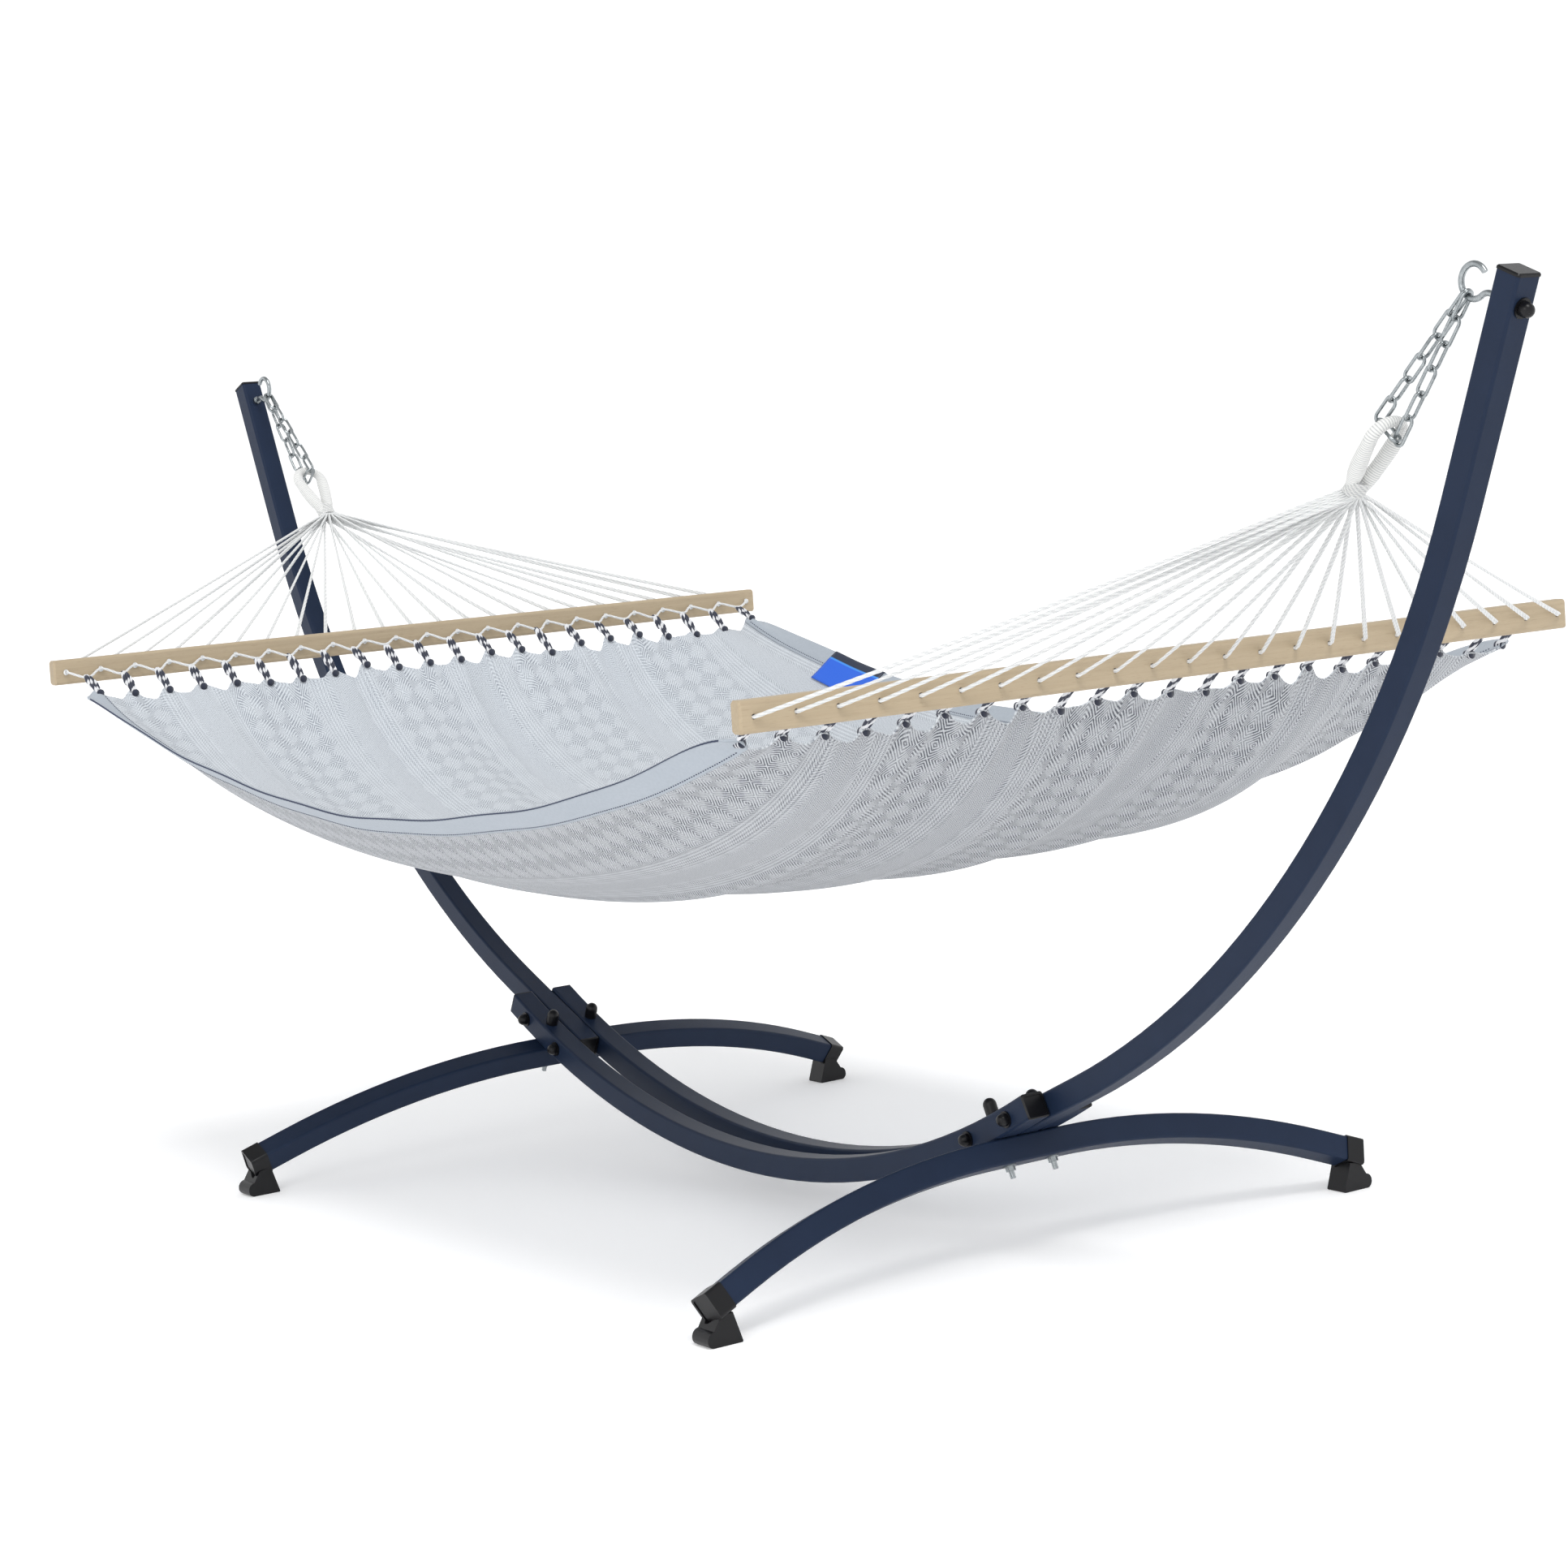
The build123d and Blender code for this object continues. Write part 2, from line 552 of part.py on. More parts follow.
ro, ri = SAG_R + FABRIC / 2, SAG_R - FABRIC / 2
hem_face = Face(
    Wire(
        [
            Edge.make_three_point_arc(arc_at(ro, -hem_a), arc_at(ro, 0), arc_at(ro, hem_a)),
            Edge.make_line(arc_at(ro, hem_a), arc_at(ri, hem_a)),
            Edge.make_three_point_arc(arc_at(ri, hem_a), arc_at(ri, 0), arc_at(ri, -hem_a)),
            Edge.make_line(arc_at(ri, -hem_a), arc_at(ro, -hem_a)),
        ]
    )
)
hem = extrude(hem_face, HEM, dir=(0, HEM_Y, HEM_Z)).solid()
save("hem_rear", hem)
save("hem_front", hem.mirror(MIRROR_Y))

lab_x = -640.0
lab_a = math.asin(lab_x / SAG_R)
lab_n = (-math.sin(lab_a), 0, math.cos(lab_a))
lab = Plane(
    origin=(ri * math.sin(lab_a), in_y, hc - ri * math.cos(lab_a)), x_dir=(0, 1, 0), z_dir=lab_n
) * Rot(0, -HEM_A, 0) * Pos(10.0, 0, 3.1) * Box(58, 150, 2.0)
save("label", lab.solid())
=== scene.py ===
import math
import bpy
import numpy as np
from mathutils import Matrix, Vector


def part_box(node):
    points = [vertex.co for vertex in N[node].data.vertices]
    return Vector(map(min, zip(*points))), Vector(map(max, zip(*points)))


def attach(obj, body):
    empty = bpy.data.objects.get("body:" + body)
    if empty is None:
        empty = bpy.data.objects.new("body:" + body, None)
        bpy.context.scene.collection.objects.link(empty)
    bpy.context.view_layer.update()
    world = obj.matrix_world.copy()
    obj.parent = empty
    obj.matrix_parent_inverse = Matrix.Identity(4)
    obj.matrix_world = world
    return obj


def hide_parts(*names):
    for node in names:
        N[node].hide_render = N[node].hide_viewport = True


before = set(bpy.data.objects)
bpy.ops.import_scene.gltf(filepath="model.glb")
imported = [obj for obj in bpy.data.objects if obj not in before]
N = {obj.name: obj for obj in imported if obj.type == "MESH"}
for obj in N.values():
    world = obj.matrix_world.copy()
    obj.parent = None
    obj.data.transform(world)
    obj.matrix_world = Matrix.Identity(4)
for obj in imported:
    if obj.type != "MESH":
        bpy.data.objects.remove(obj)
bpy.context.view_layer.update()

rng = np.random.default_rng(7)
scene = bpy.context.scene

# ---------------------------------------------------------------- camera
cam_data = bpy.data.cameras.new("cam")
cam = bpy.data.objects.new("cam", cam_data)
scene.collection.objects.link(cam)
scene.camera = cam
R = np.array([[0.56748, 0.82072, -0.06617], [0.0303, -0.10113, -0.99441], [-0.82283, 0.5623, -0.08226]])
m = Matrix.Identity(4)
for i, ax in enumerate((R[0], -R[1], -R[2])):
    for j in range(3):
        m[j][i] = ax[j]
m.translation = Vector((4.62721, -3.09352, 1.25441))
cam.matrix_world = m
cam_data.sensor_width = 36.0
cam_data.lens = 36.0 * 4370.0 / 1932.0
cam_data.shift_x = 0.0
cam_data.shift_y = (852.66 - 966.0) / 1932.0
cam_data.clip_end = 100.0

# ---------------------------------------------------------------- light and floor
world = bpy.data.worlds.new("studio")
scene.world = world
world.use_nodes = True
wt = world.node_tree
bg = wt.nodes["Background"]
bg.inputs["Color"].default_value = (0.985, 0.992, 1.0, 1)
w_tc = wt.nodes.new("ShaderNodeTexCoord")
w_sp = wt.nodes.new("ShaderNodeSeparateXYZ")
w_mr = wt.nodes.new("ShaderNodeMapRange")
w_mr.interpolation_type = "SMOOTHSTEP"
w_mr.inputs["From Min"].default_value = 0.36
w_mr.inputs["From Max"].default_value = 0.80
w_mr.inputs["To Min"].default_value = 1.12
w_mr.inputs["To Max"].default_value = 0.50
wt.links.new(w_tc.outputs["Generated"], w_sp.inputs[0])
wt.links.new(w_sp.outputs["Z"], w_mr.inputs["Value"])
wt.links.new(w_mr.outputs["Result"], bg.inputs["Strength"])
scene.view_settings.view_transform = "Standard"
scene.view_settings.look = "None"


def area(name, loc, target, size, power, color=(1, 1, 1)):
    d = bpy.data.lights.new(name, "AREA")
    d.shape = "SQUARE"
    d.size = size
    d.energy = power
    d.color = color
    o = bpy.data.objects.new(name, d)
    scene.collection.objects.link(o)
    o.location = loc
    o.rotation_euler = (Vector(target) - Vector(loc)).to_track_quat("-Z", "Y").to_euler()
    return o


sun_data = bpy.data.lights.new("sun", "SUN")
sun_data.energy = 1.5
sun_data.angle = 0.42
sun_data.color = (1.0, 0.995, 0.985)
sun = bpy.data.objects.new("sun", sun_data)
scene.collection.objects.link(sun)
sun.rotation_euler = Vector((-0.50, 0.12, -1.0)).to_track_quat("-Z", "Y").to_euler()
area("front", (2.5, -4.5, 3.2), (0.2, 0, 0.8), 2.2, 38, (1.0, 0.995, 0.985))

floor_mesh = bpy.data.meshes.new("floor")
floor_mesh.from_pydata([(-40, -40, 0), (40, -40, 0), (40, 40, 0), (-40, 40, 0)], [], [(0, 1, 2, 3)])
floor = bpy.data.objects.new("floor", floor_mesh)
scene.collection.objects.link(floor)


# ---------------------------------------------------------------- node helpers
class Mat:
    def __init__(self, name):
        self.m = bpy.data.materials.new(name)
        self.m.use_nodes = True
        self.t = self.m.node_tree
        self.p = self.t.nodes["Principled BSDF"]

    def new(self, kind, **kw):
        n = self.t.nodes.new(kind)
        for k, v in kw.items():
            setattr(n, k, v)
        return n

    def put(self, sock, v):
        if isinstance(v, bpy.types.NodeSocket):
            self.t.links.new(v, sock)
        else:
            sock.default_value = v

    def math(self, op, a, b=None, c=None, clamp=False):
        n = self.new("ShaderNodeMath", operation=op, use_clamp=clamp)
        self.put(n.inputs[0], a)
        if b is not None:
            self.put(n.inputs[1], b)
        if c is not None:
            self.put(n.inputs[2], c)
        return n.outputs[0]

    def step(self, x, lo, hi):
        n = self.new("ShaderNodeMapRange", interpolation_type="SMOOTHSTEP")
        self.put(n.inputs["Value"], x)
        n.inputs["From Min"].default_value = lo
        n.inputs["From Max"].default_value = hi
        return n.outputs["Result"]

    def mix(self, f, a, b, blend="MIX"):
        n = self.new("ShaderNodeMix", data_type="RGBA", blend_type=blend)
        self.put(n.inputs[0], f)
        self.put(n.inputs[6], a)
        self.put(n.inputs[7], b)
        return n.outputs[2]

    def pos(self, scale=(1, 1, 1)):
        tc = self.new("ShaderNodeTexCoord")
        mp = self.new("ShaderNodeMapping")
        self.t.links.new(tc.outputs["Object"], mp.inputs["Vector"])
        mp.inputs["Scale"].default_value = scale
        return mp.outputs["Vector"]

    def noise(self, scale, detail=3.0, rough=0.55, vec=None, dist=0.0):
        n = self.new("ShaderNodeTexNoise")
        self.put(n.inputs["Vector"], vec if vec is not None else self.pos())
        n.inputs["Scale"].default_value = scale
        n.inputs["Detail"].default_value = detail
        n.inputs["Roughness"].default_value = rough
        n.inputs["Distortion"].default_value = dist
        return n.outputs["Fac"]

    def bump(self, h, strength=0.3, dist=0.001, normal=None):
        n = self.new("ShaderNodeBump")
        n.inputs["Strength"].default_value = strength
        n.inputs["Distance"].default_value = dist
        self.put(n.inputs["Height"], h)
        if normal is not None:
            self.put(n.inputs["Normal"], normal)
        return n.outputs["Normal"]

    def wear(self, lo=0.5, hi=0.62):
        g = self.new("ShaderNodeNewGeometry")
        return self.step(g.outputs["Pointiness"], lo, hi)

    def out(self, color=None, rough=None, normal=None, **plain):
        if color is not None:
            self.put(self.p.inputs["Base Color"], color)
        if rough is not None:
            self.put(self.p.inputs["Roughness"], rough)
        if normal is not None:
            self.put(self.p.inputs["Normal"], normal)
        for k, v in plain.items():
            self.p.inputs[k.replace("_", " ")].default_value = v
        return self.m


def rgb(r, g, b):
    f = lambda c: (c / 255.0 / 12.92) if c / 255.0 <= 0.04045 else ((c / 255.0 + 0.055) / 1.055) ** 2.4
    return (f(r), f(g), f(b), 1.0)


# floor
k = Mat("floor_white")
floor_mat = k.out(color=k.mix(k.noise(0.6), rgb(249, 249, 250), rgb(252, 252, 252)), rough=0.75, Specular_IOR_Level=0.1, Emission_Color=(1.0, 1.0, 1.0, 1.0), Emission_Strength=0.22)
floor_mesh.materials.append(floor_mat)

# powder coat: dark navy, fine grain flecked a little lighter
k = Mat("powder_coat")
grain = k.noise(1400.0, 2.0)
mott = k.noise(18.0, 4.0)
c = k.mix(mott, rgb(20, 31, 51), rgb(26, 39, 62))
c = k.mix(k.math("MULTIPLY", grain, 0.35), c, rgb(40, 55, 80))
powder = k.out(
    color=c,
    rough=k.math("MULTIPLY_ADD", grain, 0.2, 0.34),
    normal=k.bump(grain, 0.18, 0.0004),
    Specular_IOR_Level=0.16,
)

# moulded black plastic
k = Mat("black_plastic")
g1 = k.noise(900.0, 2.0)
c = k.mix(k.noise(30.0), rgb(7, 7, 10), rgb(14, 14, 18))
black = k.out(color=c, rough=k.math("MULTIPLY_ADD", g1, 0.2, 0.24), normal=k.bump(g1, 0.08, 0.0004), Specular_IOR_Level=0.3)

# zinc plate
k = Mat("zinc_plate")
n1 = k.noise(260.0, 4.0)
n2 = k.noise(45.0, 3.0)
c = k.mix(n1, rgb(128, 134, 138), rgb(186, 191, 192))
c = k.mix(k.math("MULTIPLY", k.step(n2, 0.5, 0.75), 0.5), c, rgb(96, 101, 105))
zinc = k.out(color=c, rough=k.math("MULTIPLY_ADD", n2, 0.25, 0.16), normal=k.bump(n1, 0.1, 0.0004), Metallic=1.0)

# pale bar wood, grain along Y
k = Mat("bar_wood")
v = k.pos((55.0, 1.6, 55.0))
g = k.noise(3.2, 6.0, 0.6, v, 0.6)
fine = k.noise(9.0, 5.0, 0.7, k.pos((90.0, 3.0, 90.0)))
pores = k.step(k.noise(22.0, 2.0, 0.5, k.pos((60.0, 2.2, 60.0))), 0.62, 0.72)
tone = k.noise(1.7, 2.0)
c = k.mix(g, rgb(152, 137, 114), rgb(188, 173, 149))
c = k.mix(k.math("MULTIPLY", fine, 0.45), c, rgb(168, 149, 121))
c = k.mix(k.math("MULTIPLY", pores, 0.4), c, rgb(112, 92, 68))
c = k.mix(k.math("MULTIPLY", tone, 0.3), c, rgb(176, 156, 124))
wood = k.out(color=c, rough=k.math("MULTIPLY_ADD", g, 0.2, 0.42), normal=k.bump(k.math("ADD", g, fine), 0.18, 0.0006), Specular_IOR_Level=0.4)


def threads(name, base, dark, slope, pitch, rough=0.75, amount=0.35):
    """Cord cloth: the piece's own attribute marks the grooves between the strands, and the cloth is darkened there
    towards the dark colour as painted shade.
    """
    k = Mat(name)
    at = k.new("ShaderNodeAttribute", attribute_name="groove_shade_and_strand_tone")
    f = at.outputs["Fac"]
    hair = k.noise(2200.0, 2.0)
    # painted shade: darken towards the dark colour in the grooves between the strands
    c = k.mix(k.math("MULTIPLY", f, amount), base, dark)
    c = k.mix(k.math("MULTIPLY", hair, 0.18), c, dark)
    return k.out(color=c, rough=rough, normal=k.bump(hair, 0.25, 0.0004), Sheen_Weight=0.3, Sheen_Roughness=0.5)


# the dark colours are the painted shade in the cord grooves; the random hair flecks use them too
cord_white = threads("white_cord", rgb(232, 233, 232), rgb(128, 132, 138), 0, 0, amount=0.5)
rope_wrap = threads("rope_wrap", rgb(236, 236, 233), rgb(112, 117, 126), 0, 0, amount=0.7)

k = Mat("loop_two_tone")
at = k.new("ShaderNodeAttribute", attribute_name="groove_shade_and_strand_tone")
hair = k.noise(2200.0, 2.0)
c = k.mix(k.step(at.outputs["Fac"], 0.30, 0.42), rgb(222, 223, 226), rgb(18, 25, 48))
c = k.mix(k.math("MULTIPLY", hair, 0.15), c, rgb(120, 126, 140))
loop_mat = k.out(color=c, rough=0.8, normal=k.bump(hair, 0.25, 0.0004), Sheen_Weight=0.25)


def jacquard(name, contrast, ground, navy):
    """Woven bands along the bed: concentric diamonds, chevrons and a fine twill between them."""
    k = Mat(name)
    at = k.new("ShaderNodeAttribute", attribute_name="cloth")
    sep = k.new("ShaderNodeSeparateXYZ")
    k.t.links.new(at.outputs["Vector"], sep.inputs[0])
    wob = k.noise(9.0, 2.0, 0.5, at.outputs["Vector"])
    a = k.math("MULTIPLY", sep.outputs[0], 1000.0)   # across, mm
    b = k.math("MULTIPLY", sep.outputs[1], 1000.0)   # along, mm
    b = k.math("MULTIPLY_ADD", wob, 2.2, b)
    a = k.math("ADD", a, 2000.0)
    b = k.math("ADD", b, 3000.0)
    pp = lambda x, h: k.math("PINGPONG", x, h)
    frac = lambda x, p: k.math("FRACT", k.math("DIVIDE", x, p))
    line = lambda x, p, w: k.step(k.math("ABSOLUTE", k.math("SUBTRACT", frac(x, p), 0.5)), 0.25 + w, 0.25 - w)
    # concentric diamonds, 42 mm wide
    dia = line(k.math("ADD", pp(a, 21.0), pp(b, 21.0)), 5.2, 0.10)
    # fine chevrons that run across the band
    chev = line(k.math("ADD", b, pp(a, 14.0)), 5.2, 0.10)
    # fine broken twill
    twill = line(k.math("ADD", b, pp(a, 5.0)), 3.0, 0.18)
    # where the figure is dark and where it is pale: lozenges in rows
    def lozenge(wa, wb):
        p_ = k.math("ADD", k.math("DIVIDE", a, wa), k.math("DIVIDE", b, wb))
        q_ = k.math("SUBTRACT", k.math("DIVIDE", a, wa), k.math("DIVIDE", b, wb))
        sp_ = k.math("SINE", k.math("MULTIPLY", p_, math.pi))
        sq_ = k.math("SINE", k.math("MULTIPLY", q_, math.pi))
        return k.step(k.math("MULTIPLY", sp_, sq_), -0.16, 0.16)
    fig = lozenge(42.0, 42.0)
    fig2 = lozenge(26.0, 60.0)
    # bands across the bed, 276 mm repeat
    band = pp(k.math("ADD", a, 10.0), 138.0)
    in_dia = k.step(band, 74.0, 66.0)
    in_fine = k.step(band, 112.0, 118.0)
    body = k.mix(in_dia, k.math("MULTIPLY", chev, k.math("MULTIPLY_ADD", fig2, 0.26, 0.50)), k.math("MULTIPLY", dia, k.math("MULTIPLY_ADD", fig, 0.32, 0.52)))
    body = k.mix(in_fine, body, k.math("MULTIPLY", twill, 0.62))
    # pin lines between bands
    pin = k.math("ADD", line(k.math("ADD", band, 0.0), 6.0, 0.1), 0.0)
    near = k.math("MULTIPLY", k.step(k.math("ABSOLUTE", k.math("SUBTRACT", band, 92.0)), 20.0, 15.0), 0.55)
    body = k.mix(near, body, k.math("MULTIPLY", pin, twill))
    slub = k.noise(160.0, 3.0, 0.6, at.outputs["Vector"])
    fleck = k.step(k.noise(520.0, 2.0, 0.6, at.outputs["Vector"]), 0.50, 0.66)
    fac = k.math("MULTIPLY_ADD", body, contrast, k.math("MULTIPLY", fleck, 0.26), clamp=True)
    base = k.mix(slub, ground, tuple(min(1.0, x * 1.1) for x in ground[:3]) + (1,))
    base = k.mix(k.math("MULTIPLY", k.noise(5.0, 3.0), 0.10), base, rgb(170, 178, 188))
    c = k.mix(fac, base, navy)
    # weave relief: warp and weft, 1.4 mm
    wx = k.math("SINE", k.math("MULTIPLY", a, 2 * math.pi / 1.5))
    wy = k.math("SINE", k.math("MULTIPLY", b, 2 * math.pi / 1.5))
    weave = k.math("MULTIPLY", wx, wy)
    h = k.math("ADD", k.math("MULTIPLY", weave, 0.5), k.math("MULTIPLY", body, -0.9))
    return k.out(color=c, rough=0.86, normal=k.bump(k.math("ADD", h, slub), 0.35, 0.0006), Sheen_Weight=0.2, Sheen_Roughness=0.6, Specular_IOR_Level=0.25)


jac_top = jacquard("jacquard_top", 0.66, rgb(205, 210, 215), rgb(66, 76, 96))
jac_under = jacquard("jacquard_under", 0.98, rgb(190, 193, 197), rgb(32, 38, 56))

k = Mat("hem_cloth")
at = k.new("ShaderNodeAttribute", attribute_name="cloth")
sep = k.new("ShaderNodeSeparateXYZ")
k.t.links.new(at.outputs["Vector"], sep.inputs[0])
a = k.math("MULTIPLY", sep.outputs[0], 1000.0)
b = k.math("MULTIPLY", sep.outputs[1], 1000.0)
weave = k.math("MULTIPLY", k.math("SINE", k.math("MULTIPLY", a, 4.2)), k.math("SINE", k.math("MULTIPLY", b, 4.2)))
sl = k.noise(220.0, 3.0)
c = k.mix(sl, rgb(158, 166, 175), rgb(176, 183, 191))
c = k.mix(k.math("MULTIPLY", k.noise(14.0, 3.0), 0.25), c, rgb(156, 165, 177))
hem_mat = k.out(color=c, rough=0.85, normal=k.bump(k.math("ADD", weave, sl), 0.3, 0.0005), Sheen_Weight=0.2, Specular_IOR_Level=0.25)

k = Mat("stitch_navy")
hair = k.noise(1800.0, 2.0)
stitch_mat = k.out(color=k.mix(hair, rgb(26, 34, 58), rgb(58, 67, 94)), rough=0.7, normal=k.bump(hair, 0.3, 0.0003))

k = Mat("label_satin")
at = k.new("ShaderNodeAttribute", attribute_name="cloth")
sep = k.new("ShaderNodeSeparateXYZ")
k.t.links.new(at.outputs["Vector"], sep.inputs[0])
up = k.step(sep.outputs[0], 0.488, 0.512)
wv = k.noise(1500.0, 2.0)
c = k.mix(up, rgb(14, 92, 214), rgb(16, 20, 38))
edge = k.step(k.math("ABSOLUTE", k.math("SUBTRACT", sep.outputs[0], 0.5)), 0.022, 0.012)
c = k.mix(k.math("MULTIPLY", edge, 0.8), c, rgb(60, 150, 240))
c = k.mix(k.math("MULTIPLY", wv, 0.12), c, rgb(120, 150, 200))
label_mat = k.out(color=c, rough=k.math("MULTIPLY_ADD", wv, 0.2, 0.35), normal=k.bump(wv, 0.15, 0.0003))


def paint(prefixes, mat):
    for name, o in N.items():
        if name.startswith(prefixes):
            if not o.material_slots:
                o.data.materials.append(mat)
            for s in o.material_slots:
                s.material = mat


paint(("arm_left", "arm_right", "base_tube", "cross_leg"), powder)
paint(("arm_top_cap", "arm_lower_plug", "base_end_plugs", "foot", "side_dome", "hook_dome", "hook_outer", "leg_bolt_caps"), black)
paint(("side_bolts", "leg_bolts_", "leg_nuts", "leg_washers", "hook_left", "hook_right", "hook_inner", "chain"), zinc)
paint(("spreader",), wood)


# ---------------------------------------------------------------- mesh helpers
def mesh(name, verts, faces, mats, attr=None, vals=None, kind="FLOAT", smooth=True, mat_index=None):
    me = bpy.data.meshes.new(name)
    me.from_pydata([tuple(v) for v in verts], [], faces)
    for mt in mats:
        me.materials.append(mt)
    if attr:
        at = me.attributes.new(attr, kind, "POINT")
        at.data.foreach_set("vector" if kind == "FLOAT_VECTOR" else "value", np.asarray(vals, np.float32).ravel())
    if mat_index is not None:
        me.polygons.foreach_set("material_index", np.asarray(mat_index, np.int32))
    if smooth:
        me.polygons.foreach_set("use_smooth", [True] * len(me.polygons))
    me.update()
    o = bpy.data.objects.new(name, me)
    scene.collection.objects.link(o)
    return o


def resample(P, step):
    P = np.asarray(P, float)
    d = np.r_[0, np.cumsum(np.linalg.norm(np.diff(P, axis=0), axis=1))]
    n = max(3, int(round(d[-1] / step)) + 1)
    s = np.linspace(0, d[-1], n)
    return np.stack([np.interp(s, d, P[:, i]) for i in range(3)], 1), s


def frames(P, closed=False):
    T = np.gradient(P, axis=0)
    T /= np.linalg.norm(T, axis=1)[:, None]
    up = np.array([0.0, 0.0, 1.0]) if abs(T[0, 2]) < 0.9 else np.array([1.0, 0, 0])
    U = np.zeros_like(P)
    u = up - T[0] * (up @ T[0])
    u /= np.linalg.norm(u)
    for i in range(len(P)):
        u = u - T[i] * (u @ T[i])
        u /= np.linalg.norm(u)
        U[i] = u
    return T, U, np.cross(T, U)


class Soup:
    def __init__(self):
        self.v, self.f, self.a, self.n = [], [], [], 0

    def tube(self, P, radius, seg=9, lobes=3, depth=0.14, pitch=0.013, phase=0.0, step=0.0022, shade=None, cap=True):
        P, s = resample(P, step)
        T, U, V = frames(P)
        ang = np.arange(seg) * 2 * np.pi / seg
        tw = 2 * np.pi * s / pitch + phase
        rad = radius(s / s[-1]) if callable(radius) else np.full(len(s), radius)
        A = lobes * (ang[None, :]) - tw[:, None]
        w = np.cos(A)
        r = rad[:, None] * (1 - depth + depth * np.abs(np.cos(A / 2)) * 1.0) if lobes else np.repeat(rad[:, None], seg, 1)
        X = P[:, None, :] + r[..., None] * (np.cos(ang)[None, :, None] * U[:, None, :] + np.sin(ang)[None, :, None] * V[:, None, :])
        # the default mask is painted shade: 1 in the grooves between the lobes of the strands, 0 on their crowns; the
        # loops pass their own two-tone strand mask instead
        a = 1 - np.abs(np.cos(A / 2)) if shade is None else shade(A, s)
        n, m = X.shape[:2]
        base = self.n
        self.v.append(X.reshape(-1, 3))
        self.a.append(np.asarray(a).reshape(-1))
        i = np.arange(n - 1)[:, None] * m + np.arange(m)[None, :]
        j = np.arange(n - 1)[:, None] * m + (np.arange(m)[None, :] + 1) % m
        q = np.stack([i, j, j + m, i + m], -1).reshape(-1, 4) + base
        self.f.extend(q.tolist())
        if cap:
            self.f.append([base + t for t in range(m)][::-1])
            self.f.append([base + (n - 1) * m + t for t in range(m)])
        self.n += n * m

    def build(self, name, mat):
        return mesh(name, np.concatenate(self.v), self.f, [mat], "groove_shade_and_strand_tone", np.concatenate(self.a))


def smooth_path(pts, n=24):
    """Catmull-Rom through points."""
    P = np.asarray(pts, float)
    P = np.vstack([2 * P[0] - P[1], P, 2 * P[-1] - P[-2]])
    out = []
    for i in range(1, len(P) - 2):
        p0, p1, p2, p3 = P[i - 1 : i + 3]
        t = np.linspace(0, 1, n, endpoint=False)[:, None]
        out.append(0.5 * ((2 * p1) + (p2 - p0) * t + (2 * p0 - 5 * p1 + 4 * p2 - p3) * t**2 + (-p0 + 3 * p1 - 3 * p2 + p3) * t**3))
    out.append(P[-2][None])
    return np.vstack(out)


# ---------------------------------------------------------------- sizes from the frame
bar_lo, bar_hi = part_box("spreader_bar_right")
BX, BZ = (bar_lo.x + bar_hi.x) / 2, (bar_lo.z + bar_hi.z) / 2
XI, XO = bar_lo.x, bar_hi.x
str_lo, str_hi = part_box("clew_strings_right")
PITCH = 0.0636
HOLES = [(i - 11) * PITCH for i in range(23)]
BED_X, BED_Y, HEM = 0.979, 0.690, 0.040
SAG, BELLY, DROP = 0.166, 0.138, 0.046
HEM_A = math.radians(38.0)
HEM_Y, HEM_Z = HEM * math.cos(HEM_A), HEM * math.sin(HEM_A)
SAG_R = (BED_X**2 + SAG**2) / (2 * SAG)
LOOPS = [HOLES[i] + PITCH / 2 for i in range(22)]

seat = np.array([1.59468, 0, 1.32322])
D = np.array([-0.671, 0, -0.741]); D /= np.linalg.norm(D)
E_ = np.array([-D[2], 0, D[0]])
Y = np.array([0, 1.0, 0])
EYE_C = np.array([1.44641, 0, 1.15948])
NECK = np.array([1.39197, 0, 1.09936])


def side(P, s):
    P = np.array(P, float)
    P[..., 0] *= s
    return P


# ---------------------------------------------------------------- the bed's surface
def edge_z(x):
    return BZ - DROP - SAG + SAG_R - np.sqrt(SAG_R**2 - x**2) + HEM_Z


fold_y = np.array([-0.56, -0.39, -0.2, 0.0, 0.17, 0.35, 0.53])
fold_a = np.array([0.014, 0.022, 0.016, 0.025, 0.017, 0.023, 0.013])
fold_w = np.array([0.055, 0.06, 0.07, 0.06, 0.065, 0.055, 0.05])
fold_d = np.array([0.05, -0.06, 0.03, -0.05, 0.07, -0.03, 0.04])
puck_a = rng.uniform(0.25, 1.6, (2, 48))
puck_l = rng.uniform(0.8, 1.35, (2, 48))


